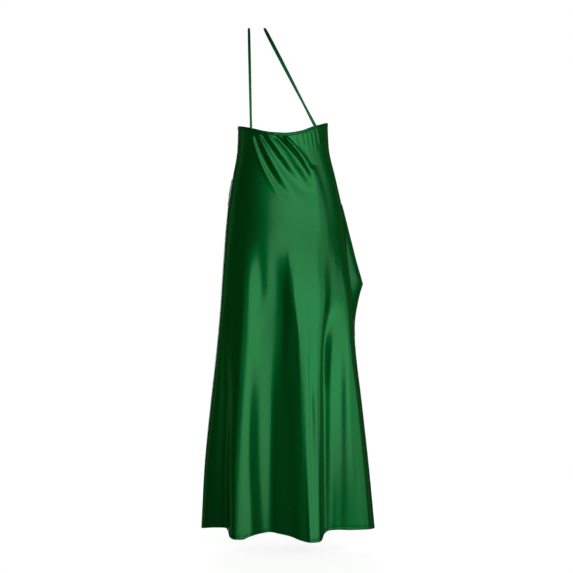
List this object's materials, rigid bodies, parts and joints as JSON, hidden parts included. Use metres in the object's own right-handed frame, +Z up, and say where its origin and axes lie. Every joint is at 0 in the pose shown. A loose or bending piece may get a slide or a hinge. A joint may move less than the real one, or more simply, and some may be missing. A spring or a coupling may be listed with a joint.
{
  "type": "one-shoulder satin dress",
  "caption": "Long worn satin dress, hollow, with a gathered low back, two thin straps over one shoulder, a swag at the hip and a fluted hem.",
  "frame": {"origin": "top of the wearer's left shoulder, midway between the undersides of the two straps", "axes": "+Z up, -Y the way the wearer faces, +X to the wearer's left"},
  "size_m": [0.504, 0.3174, 1.4642],
  "materials": {
    "satin": "emerald green satin with a soft sheen outside, duller inside",
    "satin_trim": "the same satin, turned and stitched flat"
  },
  "bodies": {
    "root": {"back_panel": "satin", "front_panel": "satin", "hip_drape": "satin", "back_band": "satin_trim", "front_band": "satin_trim", "strap_left": "satin_trim", "strap_right": "satin_trim"}
  },
  "joints": []
}
